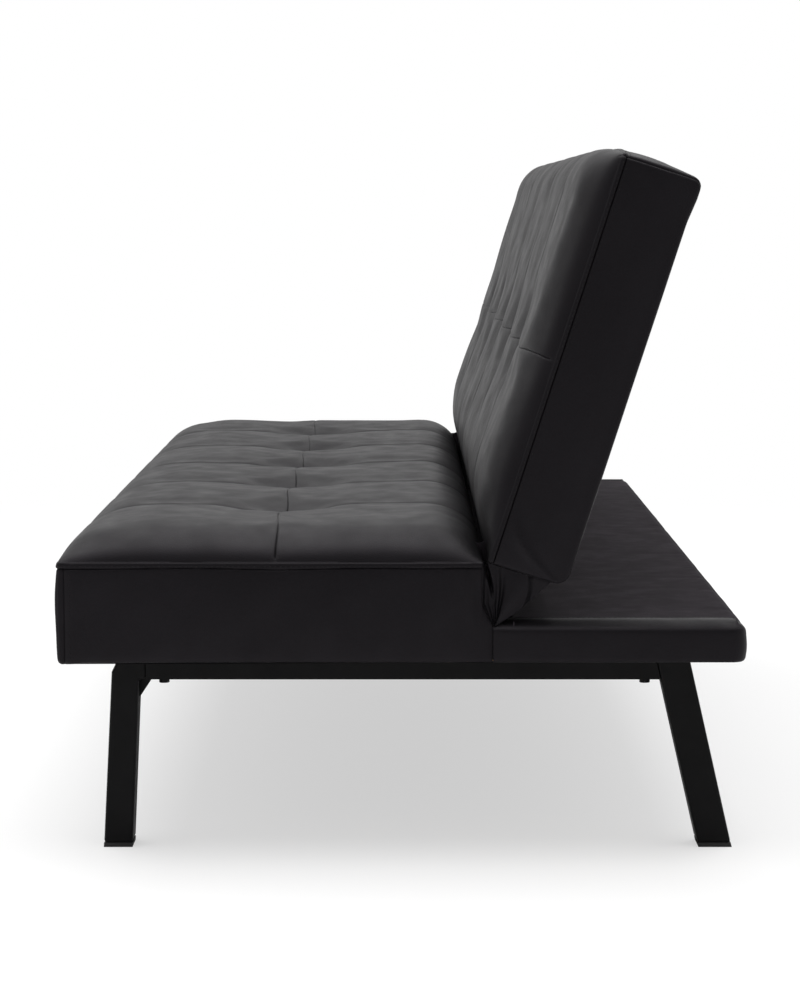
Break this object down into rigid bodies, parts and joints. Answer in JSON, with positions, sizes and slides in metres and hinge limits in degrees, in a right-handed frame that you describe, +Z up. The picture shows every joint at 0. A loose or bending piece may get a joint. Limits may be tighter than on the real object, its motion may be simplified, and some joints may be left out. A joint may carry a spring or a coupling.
{
  "type": "armless sofa bed",
  "caption": "Armless click-clack sofa bed: boxed tufted seat, reclining tufted backrest that lies down on a low rear ledge, square tube leg frames.",
  "frame": {"origin": "on the floor, under the middle of the whole object's box", "axes": "X runs along the sofa, the front of the seat faces -Y, the ledge is at +Y, Z is up"},
  "size_m": [1.68, 0.79, 0.8139],
  "materials": {
    "black_leather": "smooth black faux leather, soft sheen",
    "black_fabric": "matte black woven cloth",
    "foam": "pale polyurethane foam",
    "timber": "plain sawn softwood and plywood",
    "black_metal": "satin black powder coat",
    "bright_steel": "zinc-plated steel",
    "black_plastic": "moulded black plastic"
  },
  "bodies": {
    "base": {"bottom_dust_cover": "black_fabric", "cross_rail_left": "timber", "cross_rail_right": "timber", "crossbar_bolt_front_left": "bright_steel", "crossbar_bolt_front_right": "bright_steel", "crossbar_bolt_rear_left": "bright_steel", "crossbar_bolt_rear_right": "bright_steel", "end_gusset_left": "black_leather", "end_gusset_right": "black_leather", "end_rail_left": "timber", "end_rail_right": "timber", "foot_cap_front_left": "black_plastic", "foot_cap_front_right": "black_plastic", "foot_cap_rear_left": "black_plastic", "foot_cap_rear_right": "black_plastic", "front_rail": "timber", "hinge_fixed_arm_left": "bright_steel", "hinge_fixed_arm_right": "bright_steel", "hinge_pivot_pin_left": "bright_steel", "hinge_pivot_pin_right": "bright_steel", "ledge_cover": "black_leather", "ledge_deck": "timber", "ledge_padding": "foam", "ledge_top_fabric": "black_fabric", "leg_crossbar_left": "black_metal", "leg_crossbar_right": "black_metal", "leg_front_left": "black_metal", "leg_front_right": "black_metal", "leg_rear_left": "black_metal", "leg_rear_right": "black_metal", "middle_rail": "timber", "pawl_spring_left": "bright_steel", "pawl_spring_right": "bright_steel", "rear_rail": "timber", "seat_cover": "black_leather", "seat_foam": "foam", "seat_spring_1": "bright_steel", "seat_spring_2": "bright_steel", "seat_spring_3": "bright_steel", "seat_spring_4": "bright_steel", "seat_spring_5": "bright_steel"},
    "backrest": {"backrest_bottom_rail": "timber", "backrest_cover": "black_leather", "backrest_foam": "foam", "backrest_middle_rail": "timber", "backrest_rear_panel": "black_fabric", "backrest_side_rail_left": "timber", "backrest_side_rail_right": "timber", "backrest_spring_1": "bright_steel", "backrest_spring_2": "bright_steel", "backrest_spring_3": "bright_steel", "backrest_spring_4": "bright_steel", "backrest_top_rail": "timber", "hinge_moving_arm_left": "bright_steel", "hinge_moving_arm_right": "bright_steel"},
    "pawl_left": {"pawl_left": "bright_steel"},
    "pawl_right": {"pawl_right": "bright_steel"}
  },
  "joints": [
    {"name": "backrest_recline", "type": "hinge", "parent": "base", "child": "backrest", "pos_m": [0, 0.13039, 0.3485], "axis": [-1, 0, 0], "range_deg": [-12, 72.1], "deforming": ["end_gusset_left", "end_gusset_right"]},
    {"name": "pawl_left_swing", "type": "hinge", "parent": "base", "child": "pawl_left", "pos_m": [-0.7948, 0.11565, 0.29578], "axis": [1, 0, 0], "range_deg": [0, 12], "stiffness_Nm_per_rad": 0.05, "springref_deg": -5.73, "deforming": ["pawl_spring_left"]},
    {"name": "pawl_right_swing", "type": "hinge", "parent": "base", "child": "pawl_right", "pos_m": [0.7948, 0.11565, 0.29578], "axis": [1, 0, 0], "range_deg": [0, 12], "stiffness_Nm_per_rad": 0.05, "springref_deg": -5.73, "deforming": ["pawl_spring_right"]}
  ]
}
